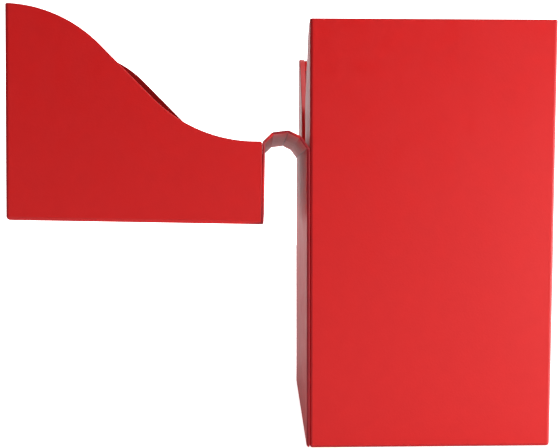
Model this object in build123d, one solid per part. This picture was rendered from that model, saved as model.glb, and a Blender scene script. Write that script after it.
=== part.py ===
from build123d import *
import math
import os

# Upright flip-lid deck box for trading cards, in millimetres.
# X runs across the box, the front faces -Y, the hinge and the opened lid lie towards +Y, +Z is up.
# The origin is the centre of the face that the base stands on.
# Every piece is laid out with the box shut. The hinge and lid are then folded back into the open pose.

# Base
BASE_WIDTH = 74.0
BASE_HEIGHT = 98.0
BASE_DEPTH = 56.8  # front to back, back cover included
COVER_THICK = 0.7
BASE_SKIN = 0.35
BASE_BOARD = 0.95
BASE_LINING = 0.3
BASE_EDGE_RADIUS = 0.9

# Thumb notch in the front and back walls, measured down from the rim
NOTCH_HALF_WIDTH = 11.3
NOTCH_DEPTH = 28.0
NOTCH_SHOULDER_X = 28.3  # where the sloping shoulder would meet the rim if it were not rounded
NOTCH_SLOPE = 44.0
NOTCH_SHOULDER_RADIUS = 14.0
NOTCH_ELBOW_RADIUS = 4.0
NOTCH_FOOT_RADIUS = 3.0

# Hinge strip: four facets between five creases, each crease turning about the outer skin
HINGE_HEIGHT = 68.9
FACET_HEIGHTS = (2.95, 2.75, 3.35, 2.65)
STRIP_THICK = 0.6
STRIP_SKIN = 0.25
STRIP_WIDTH = 74.0
CREASE_GAP = 0.1
TURNS = (35.6, 28.5, 32.6, 37.1, 45.15)  # degrees that each crease is bent with the lid laid back

# Lid
LID_WIDTH = 76.0
LID_DEPTH = 57.85
LID_FRONT_HEIGHT = 47.95
LID_BACK_HEIGHT = 18.45
LID_SKIN = 0.25
LID_BOARD = 0.25
LID_LINING = 0.15
LID_EDGE_RADIUS = 0.9
LID_BACK_GAP = 0.35  # between the side walls' ends and the back panel
LID_FOLD_GAP = 0.05

# Free edge of the lid's side walls: an arc, a slope and an opposite arc
WALL_SLOPE = 44.5
WALL_FRONT_RADIUS = 29.8
WALL_BACK_RADIUS = 32.4
WALL_LOW_HEIGHT = 18.72
WALL_END_RADIUS = 0.6

# Places that follow from the sizes
FRONT = -BASE_DEPTH / 2
BACK = BASE_DEPTH / 2
BOX_BACK = BACK - COVER_THICK
CREASE_HEIGHTS = [HINGE_HEIGHT + sum(FACET_HEIGHTS[:n]) for n in range(len(FACET_HEIGHTS) + 1)]
LID_TOP = CREASE_HEIGHTS[-1] + LID_BACK_HEIGHT
LID_FRONT = BACK - LID_DEPTH
FAR = 200.0  # beyond the object, for cutting


def block(x_low, x_high, y_low, y_high, z_low, z_high):
    """A box between two opposite corners."""
    size = (x_high - x_low, y_high - y_low, z_high - z_low)
    middle = ((x_low + x_high) / 2, (y_low + y_high) / 2, (z_low + z_high) / 2)
    return Pos(*middle) * Box(*size)


def side_prism(face_points_wire, half_width):
    """A side-view outline, given in the YZ plane, carried right across the box."""
    return extrude(face_points_wire, amount=half_width, dir=(1, 0, 0), both=True)


# ---------------------------------------------------------------- base


def base_block(inset, top=BASE_HEIGHT):
    """The base's solid block, drawn in by an inset, its upright and bottom edges rounded."""
    half = BASE_WIDTH / 2 - inset
    body = block(-half, half, FRONT + inset, BOX_BACK - inset, inset, top)
    radius = BASE_EDGE_RADIUS - inset
    if radius <= 0:
        return body
    rim = body.faces().sort_by(Axis.Z)[-1].edges()
    return fillet([e for e in body.edges() if e not in rim], radius)


def notch_tool(y_low, y_high):
    """The flared thumb notch, as a cutter through the wall between two depths."""
    slope = math.radians(NOTCH_SLOPE)
    rim = BASE_HEIGHT
    foot_z = rim - NOTCH_DEPTH
    elbow_z = rim - (NOTCH_SHOULDER_X - NOTCH_HALF_WIDTH) * math.tan(slope)
    shoulder_run = NOTCH_SHOULDER_RADIUS * math.tan(slope / 2)
    elbow_run = NOTCH_ELBOW_RADIUS * math.tan((math.pi / 2 - slope) / 2)
    down_slope = Vector(-math.cos(slope), 0, -math.sin(slope))
    shoulder = Vector(NOTCH_SHOULDER_X, 0, rim)
    elbow = Vector(NOTCH_HALF_WIDTH, 0, elbow_z)
    rim_point = shoulder + Vector(shoulder_run, 0, 0)
    slope_top = shoulder + down_slope * shoulder_run
    slope_foot = elbow - down_slope * elbow_run
    side_top = elbow - Vector(0, 0, elbow_run)
    side_foot = Vector(NOTCH_HALF_WIDTH, 0, foot_z + NOTCH_FOOT_RADIUS)
    foot = Vector(NOTCH_HALF_WIDTH - NOTCH_FOOT_RADIUS, 0, foot_z)
    above = Vector(0, 0, 1)
    edges = [
        Line(Vector(0, 0, rim) + above, rim_point + above),
        Line(rim_point + above, rim_point),
        TangentArc(rim_point, slope_top, tangent=(-1, 0, 0)),
        Line(slope_top, slope_foot),
        TangentArc(slope_foot, side_top, tangent=down_slope),
        Line(side_top, side_foot),
        TangentArc(side_foot, foot, tangent=(0, 0, -1)),
        Line(foot, Vector(0, 0, foot_z)),
        Line(Vector(0, 0, foot_z), Vector(0, 0, rim) + above),
    ]
    half = Pos(0, y_low, 0) * extrude(make_face(Wire(edges)), amount=y_high - y_low, dir=(0, 1, 0))
    return half + mirror(half, about=Plane.YZ)


def make_base():
    """Boards, leatherette and lining of the open-topped box."""
    board_in = BASE_SKIN
    lining_in = BASE_SKIN + BASE_BOARD
    cavity_in = lining_in + BASE_LINING
    outer = base_block(0)
    boards = base_block(board_in)
    lined = base_block(lining_in)
    cavity = base_block(cavity_in)
    front_notch = notch_tool(FRONT - 1, FRONT + cavity_in + 0.5)
    back_notch = notch_tool(BOX_BACK - cavity_in - 0.5, BOX_BACK + 1)
    notches = front_notch + back_notch

    wide = BASE_WIDTH
    floor_cut = block(-wide, wide, -wide, wide, -1, board_in)
    back_cut = block(-wide, wide, BOX_BACK - board_in, BACK, board_in, FAR)
    skin = outer - boards - notches
    pieces = {
        "base_bottom_skin": skin & floor_cut,
        "base_back_skin": skin & back_cut,
        "base_wrap": skin - floor_cut - back_cut,
    }

    shell = boards - lined - notches
    bottom = block(-wide, wide, -wide, wide, 0, lining_in)
    front = block(-wide, wide, -wide, FRONT + lining_in, lining_in, FAR)
    back = block(-wide, wide, BOX_BACK - lining_in, wide, lining_in, FAR)
    sides = shell - bottom - front - back
    pieces["base_bottom_board"] = shell & bottom
    pieces["base_front_board"] = shell & front
    pieces["base_back_board"] = shell & back
    pieces["base_left_board"] = sides & block(-wide, 0, -wide, wide, 0, FAR)
    pieces["base_right_board"] = sides & block(0, wide, -wide, wide, 0, FAR)

    lining = lined - cavity - notches
    floor_half = BASE_WIDTH / 2 - cavity_in
    floor = block(-floor_half, floor_half, FRONT + cavity_in, BOX_BACK - cavity_in, 0, cavity_in)
    pieces["base_floor_lining"] = lining & floor
    pieces["base_side_lining"] = lining - floor
    return pieces


def make_back_cover():
    """The stiff covered sheet on the back that the hinge grows out of."""
    half = STRIP_WIDTH / 2
    foot = 0.2
    top = HINGE_HEIGHT - CREASE_GAP / 2
    radius = 0.5
    sheet = block(-half, half, BOX_BACK, BACK, foot, top)
    outer = sheet.faces().sort_by(Axis.Y)[-1]
    top_edge = outer.edges().sort_by(Axis.Z)[-1]
    sheet = fillet([e for e in outer.edges() if e != top_edge], radius)
    skin_cut = block(-half, half, BACK - STRIP_SKIN, BACK, 0, top)
    return {"back_cover_skin": sheet & skin_cut, "back_cover_board": sheet - skin_cut}


# ---------------------------------------------------------------- hinge


def make_hinge():
    """One stiffening slat and its stretch of skin for each facet."""
    half = STRIP_WIDTH / 2
    inner = BACK - STRIP_THICK
    middle = BACK - STRIP_SKIN
    pieces = {}
    for n, (low, high) in enumerate(zip(CREASE_HEIGHTS, CREASE_HEIGHTS[1:]), start=1):
        low += CREASE_GAP / 2
        high -= CREASE_GAP / 2
        pieces[f"hinge_slat_{n}"] = block(-half, half, inner, middle, low, high)
        pieces[f"hinge_skin_{n}"] = block(-half, half, middle, BACK, low, high)
    return pieces


# ---------------------------------------------------------------- lid


def lid_block(inset):
    """The lid's solid block, drawn in by an inset, its top, front and side edges rounded."""
    half = LID_WIDTH / 2 - inset
    low = LID_TOP - LID_FRONT_HEIGHT - 1
    body = block(-half, half, LID_FRONT + inset, BACK, low, LID_TOP - inset)
    radius = LID_EDGE_RADIUS - inset
    top = body.faces().sort_by(Axis.Z)[-1]
    front = body.faces().sort_by(Axis.Y)[0]
    back_edge = top.edges().sort_by(Axis.Y)[-1]
    low_edge = front.edges().sort_by(Axis.Z)[0]
    edges = [e for e in top.edges() if e != back_edge]
    edges += [e for e in front.edges() if e != low_edge and e not in edges]
    return fillet(edges, radius)


def lid_outline():
    """What is kept of the lid seen from its side: the curved side walls and the full-length top."""
    slope = math.radians(WALL_SLOPE)
    # Distances are measured back from the lid's front face and down from its top face.
    front_fall = WALL_FRONT_RADIUS * (1 - math.cos(slope))
    front_end = (WALL_FRONT_RADIUS * math.sin(slope), LID_FRONT_HEIGHT - front_fall)
    back_rise = WALL_BACK_RADIUS * (1 - math.cos(slope))
    slope_run = (front_end[1] - WALL_LOW_HEIGHT - back_rise) / math.tan(slope)
    back_start = (front_end[0] + slope_run, WALL_LOW_HEIGHT + back_rise)
    arc_end = (back_start[0] + WALL_BACK_RADIUS * math.sin(slope), WALL_LOW_HEIGHT)
    wall_end = LID_DEPTH - STRIP_THICK - LID_BACK_GAP
    top_end = LID_DEPTH - STRIP_THICK - LID_FOLD_GAP
    lid_wall = LID_SKIN + LID_BOARD + LID_LINING

    def at(run, drop):
        return (0, LID_FRONT + run, LID_TOP - drop)

    beyond = 2.0
    front_foot = at(0, LID_FRONT_HEIGHT)
    foot = at(wall_end - WALL_END_RADIUS, WALL_LOW_HEIGHT)
    heel = at(wall_end, WALL_LOW_HEIGHT - WALL_END_RADIUS)
    edges = [
        Line(at(-beyond, -beyond), at(-beyond, LID_FRONT_HEIGHT)),
        Line(at(-beyond, LID_FRONT_HEIGHT), front_foot),
        TangentArc(front_foot, at(*front_end), tangent=(0, 1, 0)),
        Line(at(*front_end), at(*back_start)),
        TangentArc(at(*back_start), at(*arc_end), tangent=(0, math.cos(slope), math.sin(slope))),
        Line(at(*arc_end), foot),
        TangentArc(foot, heel, tangent=(0, 1, 0)),
        Line(heel, at(wall_end, lid_wall)),
        Line(at(wall_end, lid_wall), at(top_end, lid_wall)),
        Line(at(top_end, lid_wall), at(top_end, -beyond)),
        Line(at(top_end, -beyond), at(-beyond, -beyond)),
    ]
    return side_prism(make_face(Wire(edges)), LID_WIDTH)


def make_lid_shell():
    """Top, front and two side walls of the lid: boards, one leatherette wrap, one lining."""
    keep = lid_outline()
    board_in = LID_SKIN
    lining_in = LID_SKIN + LID_BOARD
    cavity_in = lining_in + LID_LINING
    boards = lid_block(board_in)
    lined = lid_block(lining_in)
    shell = (boards - lined) & keep
    wide = LID_WIDTH
    half = LID_WIDTH / 2 - lining_in
    top_cut = block(-wide, wide, -wide, wide, LID_TOP - lining_in, FAR)
    front_cut = block(-wide, wide, -wide, LID_FRONT + lining_in, 0, LID_TOP - lining_in)
    sides = shell - top_cut - front_cut
    return {
        "lid_top_board": shell & top_cut,
        "lid_front_board": shell & front_cut,
        "lid_left_board": sides & block(-wide, -half, -wide, wide, 0, FAR),
        "lid_right_board": sides & block(half, wide, -wide, wide, 0, FAR),
        "lid_wrap": (lid_block(0) - boards) & keep,
        "lid_lining": (lined - lid_block(cavity_in)) & keep,
    }


def make_lid_back():
    """The lid's back panel, which is joined to the lid's top only along the fold."""
    half = LID_WIDTH / 2
    low = CREASE_HEIGHTS[-1] + CREASE_GAP / 2
    radius = 0.5
    panel = block(-half, half, BACK - STRIP_THICK, BACK, low, LID_TOP)
    fold_edge = panel.faces().sort_by(Axis.Y)[-1].edges().sort_by(Axis.Z)[-1]
    panel = fillet([fold_edge], radius)
    skin_cut = block(-half, half, BACK - STRIP_SKIN, BACK, low, LID_TOP)
    return {"lid_back_skin": panel & skin_cut, "lid_back_board": panel - skin_cut}


# ---------------------------------------------------------------- open pose


def folded(shape, creases):
    """Folds a piece back about the first so many creases, the farthest crease first."""
    for n in reversed(range(creases)):
        shape = shape.rotate(Axis((0, BACK, CREASE_HEIGHTS[n]), (1, 0, 0)), -TURNS[n])
    return shape


def make_box():
    """Every piece by name, with the lid laid back."""
    pieces = {}
    pieces.update(make_base())
    pieces.update(make_back_cover())
    for name, shape in make_hinge().items():
        pieces[name] = folded(shape, int(name[-1]))
    all_creases = len(CREASE_HEIGHTS)
    for name, shape in {**make_lid_back(), **make_lid_shell()}.items():
        pieces[name] = folded(shape, all_creases)
    return pieces


os.makedirs("parts", exist_ok=True)
for node, piece in make_box().items():
    solids = piece.solids()
    export_step(solids[0] if len(solids) == 1 else Compound(solids), f"parts/{node}.step")
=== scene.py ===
import bmesh
import bpy
import math
from mathutils import Matrix, Vector


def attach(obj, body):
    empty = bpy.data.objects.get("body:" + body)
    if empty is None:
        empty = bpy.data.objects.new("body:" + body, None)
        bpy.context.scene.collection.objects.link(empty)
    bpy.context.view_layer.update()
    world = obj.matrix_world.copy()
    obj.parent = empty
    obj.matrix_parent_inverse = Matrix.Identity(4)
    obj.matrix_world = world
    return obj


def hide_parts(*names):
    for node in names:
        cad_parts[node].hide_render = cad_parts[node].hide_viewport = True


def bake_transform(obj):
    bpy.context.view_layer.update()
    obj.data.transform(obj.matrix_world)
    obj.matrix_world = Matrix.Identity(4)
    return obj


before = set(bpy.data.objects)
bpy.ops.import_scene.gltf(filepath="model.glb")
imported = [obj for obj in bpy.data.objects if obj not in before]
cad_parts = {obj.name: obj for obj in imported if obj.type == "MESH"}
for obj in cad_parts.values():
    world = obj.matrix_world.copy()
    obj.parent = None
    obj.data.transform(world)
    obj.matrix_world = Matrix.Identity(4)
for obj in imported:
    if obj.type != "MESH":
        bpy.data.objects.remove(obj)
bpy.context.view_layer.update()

# Card deck box with its lid laid back, in leatherette over board.
# Shapes are drawn in millimetres with the box shut, then folded into the open pose and turned into metres.
# X runs across the box, -Y is its front and Z is up.

MM = 0.001

# ---------------------------------------------------------------- sizes

BASE_HALF = 37.0  # half the width
BASE_HEIGHT = 98.0
FRONT = -28.4
BACK = 28.4  # outer face of the sheet on the back
BOX_BACK = 27.7  # outer face of the box under that sheet
BASE_WALL = 1.6
BASE_LEATHER = 1.5  # how far the leatherette piece fills the wall
BASE_LINING = 0.25
BASE_ROUND = 0.75
BASE_ROUND_INSIDE = 0.4
RIM_ROUND = 0.22
TURN_IN = 3.0  # leatherette turned in below a free edge, above the lining

NOTCH_HALF = 11.3
NOTCH_DEPTH = 28.0
NOTCH_SHOULDER = 28.3
NOTCH_SLOPE = math.radians(44.0)
NOTCH_RADII = (14.0, 4.0, 3.0)  # shoulder, elbow, foot

STRIP_HALF = 37.0
STRIP_THICK = 0.6
STRIP_ROUNDS = (0.24, 0.2)  # along its edges, outer and inner side
COVER_THICK = 0.7
COVER_ROUNDS = (0.45, 0.1)
COVER_FOOT = 0.2
TUCK = 0.03  # how much thinner the end is that tucks into the next length
TUCK_SIDE = 0.02
GROOVE = 0.09  # depth of the groove along a crease
GROOVE_REACH = 0.2
CREASES = [68.9]  # heights with the box shut
for facet_height in (2.95, 2.75, 3.35, 2.65):
    CREASES.append(CREASES[-1] + facet_height)
TURNS = [math.radians(turn) for turn in (35.6, 28.5, 32.6, 37.1, 45.15)]
ALL_CREASES = len(TURNS)

LID_HALF = 38.0
LID_TOP = CREASES[-1] + 18.45
LID_DEPTH = 57.85
LID_FRONT = BACK - LID_DEPTH
LID_FRONT_HEIGHT = 47.95
LID_WALL = 0.65
LID_LEATHER = 0.6
LID_LINING = 0.2
LID_ROUND = 0.9
LID_ROUND_INSIDE = 0.3
LINING_ROUNDS = (0.45, 0.25)  # outside and inside
LID_BACK_GAP = 0.005
WALL_SLOPE = math.radians(44.5)
WALL_FRONT_RADIUS = 29.8
WALL_BACK_RADIUS = 32.4
WALL_LOW = 18.72
WALL_END = BACK - STRIP_THICK - LID_BACK_GAP
WALL_END_RADIUS = 0.6
FOLD_BAND = 5.0  # the part of the lid's top that opens with the fold
PANEL_SEAM = LID_TOP - 9.0
FOLD_ROUND = 0.5
MITRE_DEPTH = 0.36
MITRE_HALF_GAP = 0.025
MITRE_ANGLE = 43  # degrees of the fold's arc on each side of the mitre

CREASED = math.radians(25)  # a turn between faces that shows as a crisp line
SHARP = math.radians(50)  # a corner that gets a rounded edge
NARROW = 0.34  # mean width below which a face belongs to a rounded edge
EDGE_STEPS = 4
INSIDE_STEPS = 3
OUTSIDE_STEPS = 6
STRIP_SPANS = 8  # faces across the strip
TOUCH = 0.01
NEAR = 0.1
PAST = 5.0  # how far a cutting shape runs past what it cuts
SIDE_REACH = 60.0  # half the width of a shape that is cut from the side
WELD = 0.0005


def crease_turn(n):
    """The turn about one crease that lays the lid back."""
    pivot = Matrix.Translation((0, BACK, CREASES[n]))
    return pivot @ Matrix.Rotation(-TURNS[n], 4, "X") @ pivot.inverted()


def fold(creases):
    """From the shut box to the open pose, for what lies beyond so many creases."""
    result = Matrix.Identity(4)
    for n in range(creases):
        result = result @ crease_turn(n)
    return result


# ---------------------------------------------------------------- outlines


def arc(centre, radius, start, end, steps):
    """Points along an arc in a plane; angles in degrees."""
    points = []
    for k in range(steps + 1):
        angle = math.radians(start + (end - start) * k / steps)
        points.append((centre[0] + radius * math.cos(angle), centre[1] + radius * math.sin(angle)))
    return points


def rounded_corner(before, corner, after, radius, steps):
    """The arc that replaces a corner between two straight runs."""
    a, b, c = (Vector(p) for p in (before, corner, after))
    into, out = (a - b).normalized(), (c - b).normalized()
    half = into.angle(out) / 2
    reach = radius / math.tan(half)
    centre = b + (into + out).normalized() * (radius / math.sin(half))
    start, end = b + into * reach, b + out * reach
    swing = math.pi - 2 * half
    points = []
    for k in range(steps + 1):
        share = k / steps
        first, last = start - centre, end - centre
        mix = (first * math.sin((1 - share) * swing) + last * math.sin(share * swing)) / math.sin(swing)
        points.append(tuple(centre + mix))
    return points


def notch_outline(grow):
    """The thumb notch seen from the front, closed above the rim and widened all round by grow."""
    rim = BASE_HEIGHT - grow
    side = NOTCH_HALF + grow
    foot = BASE_HEIGHT - NOTCH_DEPTH - grow
    along = (math.cos(NOTCH_SLOPE), math.sin(NOTCH_SLOPE))
    start = (NOTCH_SHOULDER + grow * along[1], BASE_HEIGHT - grow * along[0])
    shoulder_x = start[0] + (rim - start[1]) / along[1] * along[0]
    elbow_z = start[1] - (start[0] - side) / along[0] * along[1]
    shoulder, elbow, corner = (shoulder_x, rim), (side, elbow_z), (side, foot)
    radii = (NOTCH_RADII[0] - grow, NOTCH_RADII[1] - grow, NOTCH_RADII[2] + grow)
    right = rounded_corner((shoulder_x + 20, rim), shoulder, elbow, radii[0], 10)
    right += rounded_corner(shoulder, elbow, corner, radii[1], 8)
    right += rounded_corner(elbow, corner, (0, foot), radii[2], 8)
    right = [(right[0][0], BASE_HEIGHT + 2.0)] + right
    return right + [(-x, z) for x, z in reversed(right)]


def wall_edge(steps=26):
    """The free edge of the lid's side walls, from the front to the low end, as (y, z) with the box shut."""
    front_fall = WALL_FRONT_RADIUS * (1 - math.cos(WALL_SLOPE))
    front_run = WALL_FRONT_RADIUS * math.sin(WALL_SLOPE)
    rise = WALL_BACK_RADIUS * (1 - math.cos(WALL_SLOPE))
    slope_run = (LID_FRONT_HEIGHT - front_fall - WALL_LOW - rise) / math.tan(WALL_SLOPE)
    points = []
    for k in range(steps + 1):
        angle = WALL_SLOPE * k / steps
        run = WALL_FRONT_RADIUS * math.sin(angle)
        points.append((run, LID_FRONT_HEIGHT - WALL_FRONT_RADIUS * (1 - math.cos(angle))))
    end_run = front_run + slope_run + WALL_BACK_RADIUS * math.sin(WALL_SLOPE)
    for k in range(steps + 1):
        angle = WALL_SLOPE * (1 - k / steps)
        run = end_run - WALL_BACK_RADIUS * math.sin(angle)
        points.append((run, WALL_LOW + WALL_BACK_RADIUS * (1 - math.cos(angle))))
    return [(LID_FRONT + run, LID_TOP - drop) for run, drop in points]


def shifted(points, distance):
    """An open path moved sideways, to the left of its direction."""
    moved = []
    for k, point in enumerate(points):
        before, after = points[max(k - 1, 0)], points[min(k + 1, len(points) - 1)]
        along = (Vector(after) - Vector(before)).normalized()
        moved.append((point[0] - along.y * distance, point[1] + along.x * distance))
    return moved


# ---------------------------------------------------------------- mesh tools


def block(low, high):
    """A box between two corners."""
    bm = bmesh.new()
    bmesh.ops.create_cube(bm, size=1.0)
    for v in bm.verts:
        v.co = Vector(low[i] + (v.co[i] + 0.5) * (high[i] - low[i]) for i in range(3))
    return bm


def prism(outline, low, high, upright=False):
    """An outline carried along X, or along Y when it is seen from the front."""
    bm = bmesh.new()
    ends = []
    for depth in (low, high):
        if upright:
            ring = [bm.verts.new((a, depth, b)) for a, b in outline]
        else:
            ring = [bm.verts.new((depth, a, b)) for a, b in outline]
        ends.append(ring)
        bm.faces.new(ring)
    count = len(outline)
    for k in range(count):
        n = (k + 1) % count
        bm.faces.new((ends[0][k], ends[0][n], ends[1][n], ends[1][k]))
    bmesh.ops.recalc_face_normals(bm, faces=bm.faces)
    return bm


def round_edges(bm, wanted, radius, segments):
    """Rounds every edge that the test picks."""
    edges = [e for e in bm.edges if len(e.link_faces) == 2 and wanted(e)]
    bmesh.ops.bevel(bm, geom=edges, offset=radius, offset_type="OFFSET", segments=segments,
                    profile=0.5, affect="EDGES", clamp_overlap=False)
    return bm


def sharp_outside(edge):
    """Whether an edge is an outside corner that gets rounded."""
    return edge.is_convex and edge.calc_face_angle(0.0) > SHARP


def middle_of(edge):
    """The middle of an edge."""
    return (edge.verts[0].co + edge.verts[1].co) / 2


def combine(bm, tool, operation):
    """One closed mesh from two."""
    objects = []
    for part in (bm, tool):
        mesh = bpy.data.meshes.new("scratch")
        part.to_mesh(mesh)
        part.free()
        piece = bpy.data.objects.new("scratch", mesh)
        bpy.context.scene.collection.objects.link(piece)
        objects.append(piece)
    modifier = objects[0].modifiers.new("combine", "BOOLEAN")
    modifier.operation = operation
    modifier.object = objects[1]
    modifier.solver = "EXACT"
    bpy.context.view_layer.update()
    result = bmesh.new()
    result.from_object(objects[0], bpy.context.evaluated_depsgraph_get())
    for piece in objects:
        mesh = piece.data
        bpy.data.objects.remove(piece)
        bpy.data.meshes.remove(mesh)
    bmesh.ops.remove_doubles(result, verts=result.verts, dist=WELD)
    bmesh.ops.dissolve_degenerate(result, edges=result.edges, dist=WELD)
    return result


def finished(name, bm, material, body=None, creases=0, stands_for=(), edge_dye_and_shade=1.0):
    """Folds a mesh into the open pose and makes it a piece, in metres, its rounded edges and crease grooves
    marked for a deeper red that is partly the cut edge's own colour and partly painted shade.
    """
    bmesh.ops.recalc_face_normals(bm, faces=bm.faces)
    narrow = set()
    for face in bm.faces:
        longest = max(e.calc_length() for e in face.edges)
        if face.calc_area() / longest < NARROW:
            narrow.add(face)
    # The "edge" attribute marks narrow faces of rounded edges and crease grooves for a deeper red: partly the
    # sheet's darker cut edge, partly painted shade.
    edge_layer = bm.verts.layers.float.new("edge")
    for v in bm.verts:
        v[edge_layer] = edge_dye_and_shade if all(f in narrow for f in v.link_faces) else 0.0
    for face in bm.faces:
        face.smooth = True
    for e in bm.edges:
        e.smooth = e.calc_face_angle(0.0) < CREASED
    bm.transform(Matrix.Scale(MM, 4) @ fold(creases))
    mesh = bpy.data.meshes.new(name)
    bm.to_mesh(mesh)
    bm.free()
    mesh.materials.append(material)
    piece = bpy.data.objects.new(name, mesh)
    bpy.context.scene.collection.objects.link(piece)
    weigh = piece.modifiers.new("even faces", "WEIGHTED_NORMAL")
    weigh.mode = "FACE_AREA"
    weigh.weight = 80
    weigh.keep_sharp = True
    apply_modifiers(piece)
    if body:
        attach(piece, body)
    if stands_for:
        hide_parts(*stands_for)
    return piece


def apply_modifiers(piece):
    """Turns what the modifiers make into the piece's own mesh."""
    bpy.context.view_layer.update()
    evaluated = piece.evaluated_get(bpy.context.evaluated_depsgraph_get())
    mesh = bpy.data.meshes.new_from_object(evaluated)
    old = piece.data
    piece.modifiers.clear()
    piece.data = mesh
    mesh.name = piece.name
    bpy.data.meshes.remove(old)


# ---------------------------------------------------------------- strip of folded leather


def strip(stations):
    """A closed band from stations of (outer point, inner point, half width, outer round, inner round)."""
    bm = bmesh.new()
    rings = []
    for outer, inner, half, outer_round, inner_round in stations:
        outer, inner = Vector(outer), Vector(inner)
        depth = (inner - outer).length
        side = []
        first = math.degrees(math.asin(max(0.0, 1 - depth / outer_round)))
        for x, up in arc((outer_round, 0), outer_round, 180 - first, 90, EDGE_STEPS):
            side.append((x, outer_round - up))
        flipped = []
        if inner_round:
            r = min(inner_round, depth * 0.45)
            flipped = [(x, depth - r + up) for x, up in arc((r, 0), r, 180, 90, EDGE_STEPS)]
        else:
            flipped = [(side[0][0], depth)] * (EDGE_STEPS + 1)
        # once round the band: edge at -X, outer face, edge at +X, inner face
        loop = [(-half + x, d) for x, d in reversed(flipped)] + [(-half + x, d) for x, d in side]
        start, end = side[-1][0] - half, half - side[-1][0]
        loop += [(start + (end - start) * k / STRIP_SPANS, 0.0) for k in range(1, STRIP_SPANS)]
        loop += [(half - x, d) for x, d in reversed(side)] + [(half - x, d) for x, d in flipped]
        start, end = half - flipped[-1][0], -half + flipped[-1][0]
        loop += [(start + (end - start) * k / STRIP_SPANS, depth) for k in range(1, STRIP_SPANS)]
        toward = (inner - outer) / depth
        ring = []
        for x, d in loop:
            spot = outer + toward * d
            ring.append(bm.verts.new((x, spot.x, spot.y)))
        rings.append(ring)
    for a, b in zip(rings, rings[1:]):
        for k in range(len(a)):
            n = (k + 1) % len(a)
            bm.faces.new((a[k], a[n], b[n], b[k]))
    bm.faces.new(rings[0])
    bm.faces.new(list(reversed(rings[-1])))
    bmesh.ops.remove_doubles(bm, verts=bm.verts, dist=0.002)
    bmesh.ops.dissolve_degenerate(bm, edges=bm.edges, dist=0.001)
    bmesh.ops.recalc_face_normals(bm, faces=bm.faces)
    return bm


def flat_point(folds, height, depth):
    """Where a point of the strip lies in the open pose, from its height shut and its depth below the skin."""
    spot = fold(folds) @ Vector((0, BACK - depth, height))
    return (spot.y, spot.z)


def flat(folds, low, high, thick, half, rounds):
    """Two stations at the ends of a straight run."""
    return [(flat_point(folds, z, 0.0), flat_point(folds, z, thick), half, *rounds) for z in (low, high)]


def bend(n, thick, half, rounds, steps=6):
    """Stations round crease n: a groove on the outer skin and an arc on the other side."""
    before = Vector(flat_point(n, CREASES[n], 1.0)) - Vector(flat_point(n, CREASES[n], 0.0))
    after = Vector(flat_point(n + 1, CREASES[n], 1.0)) - Vector(flat_point(n + 1, CREASES[n], 0.0))
    pivot = Vector(flat_point(n, CREASES[n], 0.0))
    middle = (before + after).normalized()
    outer = pivot + middle * GROOVE
    found = []
    for k in range(steps + 1):
        turned = before.lerp(after, k / steps).normalized()
        found.append((tuple(outer), tuple(pivot + turned * thick), half, *rounds))
    return found


# ---------------------------------------------------------------- materials


def object_space(tree):
    """Object coordinates, in metres."""
    return tree.nodes.new("ShaderNodeTexCoord").outputs["Object"]


def noise(tree, vector, scale, detail=3.0, roughness=0.55):
    """Cloudy variation, with so many features a metre."""
    node = tree.nodes.new("ShaderNodeTexNoise")
    node.inputs["Scale"].default_value = scale
    node.inputs["Detail"].default_value = detail
    node.inputs["Roughness"].default_value = roughness
    tree.links.new(vector, node.inputs["Vector"])
    return node.outputs["Fac"]


def cells(tree, vector, scale):
    """The pebbles of a leather grain."""
    node = tree.nodes.new("ShaderNodeTexVoronoi")
    node.inputs["Scale"].default_value = scale
    node.feature = "SMOOTH_F1"
    tree.links.new(vector, node.inputs["Vector"])
    return node.outputs["Distance"]


def math_node(tree, operation, a, b):
    """One sum; each side is a number or a socket."""
    node = tree.nodes.new("ShaderNodeMath")
    node.operation = operation
    for socket, value in zip(node.inputs, (a, b)):
        if isinstance(value, (int, float)):
            socket.default_value = value
        else:
            tree.links.new(value, socket)
    return node.outputs[0]


def colour_mix(tree, factor, a, b):
    """From colour a to colour b; each is a colour or a socket."""
    node = tree.nodes.new("ShaderNodeMix")
    node.data_type = "RGBA"
    share, colours = node.inputs[0], (node.inputs[6], node.inputs[7])
    tree.links.new(factor, share)
    for socket, value in zip(colours, (a, b)):
        if isinstance(value, tuple):
            socket.default_value = (*value, 1.0)
        else:
            tree.links.new(value, socket)
    return node.outputs[2]


def ranged(tree, value, low, high, to_low=0.0, to_high=1.0):
    """A value moved from one range to another."""
    node = tree.nodes.new("ShaderNodeMapRange")
    ends = {"From Min": low, "From Max": high, "To Min": to_low, "To Max": to_high}
    for socket, end in ends.items():
        node.inputs[socket].default_value = end
    tree.links.new(value, node.inputs["Value"])
    return node.outputs["Result"]


def bump(tree, height, strength, distance, normal=None):
    """Fine relief, laid over any relief given."""
    node = tree.nodes.new("ShaderNodeBump")
    node.inputs["Strength"].default_value = strength
    node.inputs["Distance"].default_value = distance
    tree.links.new(height, node.inputs["Height"])
    if normal is not None:
        tree.links.new(normal, node.inputs["Normal"])
    return node.outputs["Normal"]


def blank(name):
    """A new material with its node tree and shader."""
    material = bpy.data.materials.new(name)
    material.use_nodes = True
    shader = material.node_tree.nodes["Principled BSDF"]
    return material, material.node_tree, shader


RED = (0.60, 0.0008, 0.0008)
# Darker red for the random tone of the leatherette, and for the deeper red on rounded edges and creases,
# which is partly painted shade.
RED_DEEP_TONE_AND_SHADE = (0.26, 0.001, 0.008)
LINING_LIGHT = (0.33, 0.012, 0.014)
LINING_DARK = (0.24, 0.008, 0.010)
LINING_NAP = (0.14, 0.004, 0.006)


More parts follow.
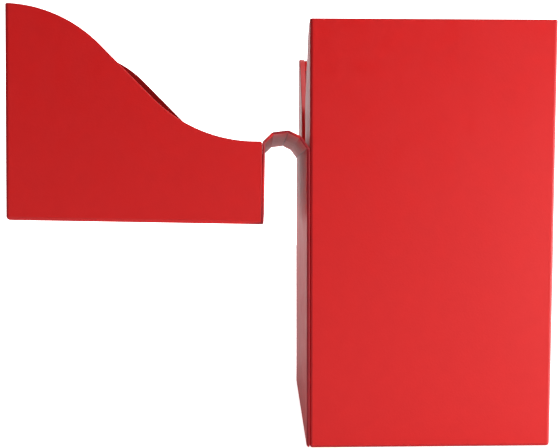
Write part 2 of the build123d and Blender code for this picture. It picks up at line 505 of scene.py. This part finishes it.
def leatherette():
    """Smooth matte red leatherette with a very fine grain; rounded edges and crease grooves take a deeper
    red, partly the sheet's darker cut edge and partly painted shade.
    """
    material, tree, shader = blank("red leatherette")
    space = object_space(tree)
    mottle = ranged(tree, noise(tree, space, 260, 4.0), 0.3, 0.7)
    cloud = ranged(tree, noise(tree, space, 28, 2.0), 0.3, 0.7)
    pebble = cells(tree, space, 2600)
    fine = noise(tree, space, 5200, 2.0)
    # Deeper red on marked edges and crease grooves: partly the cut edge's own colour, partly painted shade.
    edge_dye_and_shade_mask = tree.nodes.new("ShaderNodeAttribute")
    edge_dye_and_shade_mask.attribute_name = "edge"
    light = colour_mix(tree, ranged(tree, mottle, 0, 1, 0.0, 0.05), RED, RED_DEEP_TONE_AND_SHADE)
    light = colour_mix(tree, ranged(tree, cloud, 0, 1, 0.0, 0.03), light, RED_DEEP_TONE_AND_SHADE)
    patchy_edge_dye_and_shade = math_node(tree, "MULTIPLY", edge_dye_and_shade_mask.outputs["Fac"], ranged(tree, mottle, 0, 1, 0.8, 1.0))
    tree.links.new(colour_mix(tree, patchy_edge_dye_and_shade, light, RED_DEEP_TONE_AND_SHADE), shader.inputs["Base Color"])
    tree.links.new(ranged(tree, mottle, 0, 1, 0.50, 0.60), shader.inputs["Roughness"])
    relief = bump(tree, pebble, 0.25, 0.00006)
    tree.links.new(bump(tree, fine, 0.15, 0.00003, relief), shader.inputs["Normal"])
    shader.inputs["Specular IOR Level"].default_value = 0.42
    shader.inputs["Sheen Weight"].default_value = 0.06
    shader.inputs["Sheen Roughness"].default_value = 0.3
    return material


def microfibre():
    """Deep red napped lining."""
    material, tree, shader = blank("deep red microfibre")
    space = object_space(tree)
    nap = noise(tree, space, 3800, 4.0, 0.7)
    patch = ranged(tree, noise(tree, space, 60, 3.0), 0.3, 0.7)
    tone = colour_mix(tree, patch, LINING_LIGHT, LINING_DARK)
    tone = colour_mix(tree, ranged(tree, nap, 0.35, 0.65, 0.0, 0.35), tone, LINING_NAP)
    tree.links.new(tone, shader.inputs["Base Color"])
    shader.inputs["Roughness"].default_value = 0.95
    shader.inputs["Sheen Weight"].default_value = 0.35
    shader.inputs["Sheen Roughness"].default_value = 0.5
    tree.links.new(bump(tree, nap, 0.5, 0.00012), shader.inputs["Normal"])
    return material


LEATHER = leatherette()
LINING = microfibre()


# ---------------------------------------------------------------- base


def base_block(inset, top):
    """The base's outer block, drawn in on five sides."""
    return block((-BASE_HALF + inset, FRONT + inset, inset), (BASE_HALF - inset, BOX_BACK - inset, top))


def base_hollow(inset, top):
    """What is cut from a block of that height to leave walls and a floor."""
    hollow = base_block(inset, top + PAST)
    return round_edges(hollow, lambda e: middle_of(e).z < top + PAST - 1, BASE_ROUND_INSIDE, INSIDE_STEPS)


def notch_cutter(grow):
    """The notches of front and back in one shape."""
    return prism(notch_outline(grow), FRONT - PAST, BACK + PAST, upright=True)


def make_base():
    """The base's leatherette and the lining inside it."""
    outer = base_block(0, BASE_HEIGHT)
    round_edges(outer, lambda e: middle_of(e).z < BASE_HEIGHT - NEAR, BASE_ROUND, OUTSIDE_STEPS)
    tray = combine(outer, base_hollow(BASE_LEATHER, BASE_HEIGHT), "DIFFERENCE")
    tray = combine(tray, notch_cutter(0), "DIFFERENCE")
    round_edges(tray, sharp_outside, RIM_ROUND, EDGE_STEPS)
    boards = [f"base_{side}_board" for side in ("bottom", "front", "back", "left", "right")]
    # The base's rounded edges take a moderate share of the painted edge shade.
    finished("base_leather", tray, LEATHER, "base", edge_dye_and_shade=0.45,
             stands_for=["base_wrap", "base_bottom_skin", "base_back_skin", *boards])

    top = BASE_HEIGHT - TURN_IN
    sleeve = combine(base_block(BASE_WALL - BASE_LINING, top), base_hollow(BASE_WALL, top), "DIFFERENCE")
    sleeve = combine(sleeve, notch_cutter(TURN_IN), "DIFFERENCE")
    finished("base_lining_cloth", sleeve, LINING, "base",
             stands_for=["base_side_lining", "base_floor_lining"])


# ---------------------------------------------------------------- hinge strip


def strip_run(folds, low, high):
    """A straight run of the hinge strip."""
    return flat(folds, low, high, STRIP_THICK, STRIP_HALF, STRIP_ROUNDS)


def strip_bend(n):
    """The strip where it bends without a break."""
    return bend(n, STRIP_THICK, STRIP_HALF, STRIP_ROUNDS)


def tucked_end(n):
    """The rounded end that tucks into the next length as crease n straightens."""
    return bend(n, STRIP_THICK - TUCK, STRIP_HALF - TUCK_SIDE, STRIP_ROUNDS)[1:]


def make_hinge():
    """The folding sheet in three lengths, each bending at one crease."""
    foot_depths = (0.35, COVER_THICK - 0.05)
    cover = [(*(flat_point(0, COVER_FOOT, depth) for depth in foot_depths), STRIP_HALF - 0.3, 0.2, 0.1)]
    cover += flat(0, COVER_FOOT + 0.35, CREASES[0] - GROOVE_REACH, COVER_THICK, STRIP_HALF, COVER_ROUNDS)
    cover += strip_bend(0)
    cover += strip_run(1, CREASES[0] + GROOVE_REACH, CREASES[1])
    cover += tucked_end(1)
    piece = finished("cover_leather", strip(cover), LEATHER,
                     stands_for=["back_cover_skin", "back_cover_board", "hinge_skin_1", "hinge_slat_1"])
    crease_blend(piece)

    middle = strip_run(2, CREASES[1], CREASES[2] - GROOVE_REACH)
    middle += strip_bend(2)
    middle += strip_run(3, CREASES[2] + GROOVE_REACH, CREASES[3])
    middle += tucked_end(3)
    piece = finished("hinge_arch_leather", strip(middle), LEATHER,
                     stands_for=["hinge_skin_2", "hinge_skin_3", "hinge_slat_2", "hinge_slat_3"])
    crease_blend(piece)

    # the last length widens to the lid's width just beyond its crease
    last = strip_run(4, CREASES[3], CREASES[4] - GROOVE_REACH)
    last += strip_bend(4)
    last += flat(5, CREASES[4] + GROOVE_REACH, CREASES[4] + 0.3, STRIP_THICK, LID_HALF - 0.15, STRIP_ROUNDS)
    last += flat(5, CREASES[4] + 0.5, PANEL_SEAM, STRIP_THICK, LID_HALF, STRIP_ROUNDS)
    piece = finished("lid_back_leather", strip(last), LEATHER,
                     stands_for=["hinge_skin_4", "hinge_slat_4", "lid_back_skin", "lid_back_board"])
    crease_blend(piece)


def crease_blend(piece):
    """Bakes the piece's placement into its mesh."""
    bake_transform(piece)


# ---------------------------------------------------------------- lid


def lid_box(inset, radius, segments, past_back):
    """The lid's block, open at the back, its top, front and upright front edges rounded."""
    half = LID_HALF - inset
    low = LID_TOP - LID_FRONT_HEIGHT - 3
    back = BACK + past_back
    bm = block((-half, LID_FRONT + inset, low), (half, back, LID_TOP - inset))

    def outside(e):
        m = middle_of(e)
        return m.z > low + NEAR and m.y < back - NEAR

    return round_edges(bm, outside, radius, segments)


def make_lid():
    """The lid's leatherette and the lining inside it."""
    edge = wall_edge()
    beyond = 3.0
    outer_past, hollow_past = 2.0, 4.0
    band_start, ceiling = BACK - FOLD_BAND, LID_TOP - LID_WALL
    outline = [(LID_FRONT - beyond, LID_TOP + beyond), (LID_FRONT - beyond, edge[0][1])]
    outline += edge
    r = WALL_END_RADIUS
    outline += arc((WALL_END - r, edge[-1][1] + r), r, -90, 0, OUTSIDE_STEPS)
    outline += [(WALL_END, ceiling), (band_start, ceiling), (band_start, LID_TOP + beyond)]
    shell = combine(lid_box(0, LID_ROUND, OUTSIDE_STEPS, outer_past),
                    lid_box(LID_LEATHER, LID_ROUND_INSIDE, INSIDE_STEPS, hollow_past), "DIFFERENCE")
    shell = combine(shell, prism(outline, -SIDE_REACH, SIDE_REACH), "INTERSECT")

    def free_edge(e):
        m = middle_of(e)
        inner_end = m.y > band_start - TOUCH and m.z > ceiling - 0.3
        seam = abs(m.y - band_start) < TOUCH
        return sharp_outside(e) and not inner_end and not seam

    round_edges(shell, free_edge, RIM_ROUND, EDGE_STEPS)
    # The lid's edges take less painted edge shade, which keeps its free edge bright.
    finished("lid_leather", shell, LEATHER, "lid_shell", ALL_CREASES, edge_dye_and_shade=0.25,
             stands_for=["lid_wrap", "lid_top_board", "lid_front_board", "lid_left_board", "lid_right_board"])

    inner_edge = shifted(edge, TURN_IN)
    lining_end = WALL_END - TURN_IN
    outline = [(LID_FRONT - beyond, LID_TOP + beyond), (LID_FRONT - beyond, inner_edge[0][1])]
    outline += [p for p in inner_edge if p[0] < lining_end]
    outline += [(lining_end, inner_edge[-1][1]), (lining_end, LID_TOP + beyond)]
    outside, inside = LINING_ROUNDS
    lining = combine(lid_box(LID_WALL - LID_LINING, outside, INSIDE_STEPS, outer_past),
                     lid_box(LID_WALL, inside, INSIDE_STEPS, hollow_past), "DIFFERENCE")
    lining = combine(lining, prism(outline, -SIDE_REACH, SIDE_REACH), "INTERSECT")
    finished("lid_lining_cloth", lining, LINING, "lid_shell", ALL_CREASES,
             stands_for=["lid_lining"])


def make_lid_fold():
    """The top of the back panel, the fold and the first of the lid's top, mitred so that it can open out."""
    corner = Vector((BACK, LID_TOP))
    slanted = Vector((-1, 1)).normalized()
    apex = corner + Vector((-1, -1)).normalized() * MITRE_DEPTH
    inner_corner = corner - Vector((STRIP_THICK, LID_WALL))
    top_rounds = (LID_ROUND, 0.0)
    turn = fold(ALL_CREASES)
    stations = []

    def opened(p):
        spot = turn @ Vector((0, p[0], p[1]))
        return (spot.y, spot.z)

    def station(outer, inner, rounds):
        stations.append((opened(outer), opened(inner), LID_HALF, *rounds))

    for z in (PANEL_SEAM, LID_TOP - 2.0, LID_TOP - 0.9):
        station((BACK, z), (BACK - STRIP_THICK, z), STRIP_ROUNDS)
    centre = corner - Vector((FOLD_ROUND, FOLD_ROUND))
    steps = 5
    # the panel's side of the mitre, then the top's, where the edges take the lid's larger round
    halves = ((0, -MITRE_HALF_GAP, inner_corner, apex, STRIP_ROUNDS),
              (90 - MITRE_ANGLE, MITRE_HALF_GAP, apex, inner_corner, top_rounds))
    for first, gap, near, far, last_rounds in halves:
        for k in range(steps + 1):
            share = k / steps
            angle = math.radians(first + MITRE_ANGLE * share)
            outer = centre + Vector((math.cos(angle), math.sin(angle))) * FOLD_ROUND
            inner = (near + slanted * gap).lerp(far + slanted * gap, share)
            rounds = tuple(a + (b - a) * share for a, b in zip(STRIP_ROUNDS, last_rounds))
            station(outer, inner, rounds)
    for y in (BACK - 1.0, BACK - FOLD_BAND):
        station((y, LID_TOP), (y, LID_TOP - LID_WALL), top_rounds)
    piece = finished("lid_fold_leather", strip(stations), LEATHER)
    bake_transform(piece)


make_base()
make_hinge()
make_lid()
make_lid_fold()

# ---------------------------------------------------------------- floor, light and camera


AMBIENT = 0.07
WALL_LIGHT = 2.9
WALL_EDGE = 4.0  # the higher, the narrower the wall
KEY_POWER = 1.9
TOP_POWER = 9.0
FLOOR_LIGHT = 0.15
FLOOR_WHITE = 0.9
FLOOR_HALF = 0.7


def add(name, data, place=(0, 0, 0)):
    """A new object in the scene."""
    piece = bpy.data.objects.new(name, data)
    piece.location = place
    bpy.context.scene.collection.objects.link(piece)
    return piece


def camera_sees(tree):
    """1 for what the camera sees directly, otherwise 0."""
    return tree.nodes.new("ShaderNodeLightPath").outputs["Is Camera Ray"]


def make_floor():
    """A white floor that glows faintly on the box and looks plain white to the camera."""
    size = FLOOR_HALF
    mesh = bpy.data.meshes.new("floor")
    corners = [(-size, -size, 0), (size, -size, 0), (size, size, 0), (-size, size, 0)]
    mesh.from_pydata(corners, [], [(0, 1, 2, 3)])
    material, tree, shader = blank("white floor")
    shader.inputs["Base Color"].default_value = (FLOOR_WHITE, FLOOR_WHITE, FLOOR_WHITE, 1)
    shader.inputs["Roughness"].default_value = 0.9
    shader.inputs["Emission Color"].default_value = (1, 1, 1, 1)
    glow = ranged(tree, camera_sees(tree), 0, 1, FLOOR_LIGHT, FLOOR_WHITE)
    tree.links.new(glow, shader.inputs["Emission Strength"])
    mesh.materials.append(material)
    add("floor", mesh)


def area_light(name, place, toward, width, height, power):
    """A soft light facing a point."""
    lamp = bpy.data.lights.new(name, "AREA")
    lamp.shape = "RECTANGLE"
    lamp.size, lamp.size_y = width, height
    lamp.energy = power
    piece = add(name, lamp, place)
    piece.rotation_euler = (Vector(toward) - Vector(place)).to_track_quat("-Z", "Y").to_euler()


def make_light():
    """A bright wall beyond the box on its +X side, a low key light at the front and a soft light above."""
    world = bpy.data.worlds.new("studio")
    world.use_nodes = True
    tree = world.node_tree
    background = tree.nodes["Background"]
    background.inputs["Color"].default_value = (1, 1, 1, 1)
    parts = tree.nodes.new("ShaderNodeSeparateXYZ")
    tree.links.new(tree.nodes.new("ShaderNodeTexCoord").outputs["Generated"], parts.inputs[0])
    toward = math_node(tree, "MAXIMUM", parts.outputs["X"], 0.0)
    wall = ranged(tree, math_node(tree, "POWER", toward, WALL_EDGE), 0, 1, AMBIENT, WALL_LIGHT)
    # the camera sees plain white
    strength = math_node(tree, "MAXIMUM", wall, camera_sees(tree))
    tree.links.new(strength, background.inputs["Strength"])
    bpy.context.scene.world = world
    area_light("key", (-0.14, -0.32, 0.04), (0, 0, 0.04), 0.3, 0.08, KEY_POWER)
    area_light("top", (-0.16, -0.10, 1.10), (0, 0.03, 0.05), 0.5, 0.5, TOP_POWER)


def make_camera():
    """Almost square on to the side of the box, turned a little to its front and down."""
    lens = bpy.data.cameras.new("camera")
    lens.lens = 60.47
    lens.sensor_width = 36
    lens.shift_x = -0.0288
    lens.shift_y = 0.0594
    camera = add("camera", lens, (-0.25017, 0.03769, 0.06079))
    turn, tilt = math.radians(1.814), math.radians(4.403)
    ahead = Vector((math.cos(turn) * math.cos(tilt), -math.sin(turn) * math.cos(tilt), -math.sin(tilt)))
    camera.rotation_euler = ahead.to_track_quat("-Z", "Y").to_euler()
    bpy.context.scene.camera = camera


make_floor()
make_light()
make_camera()
bpy.context.scene.view_settings.view_transform = "Standard"
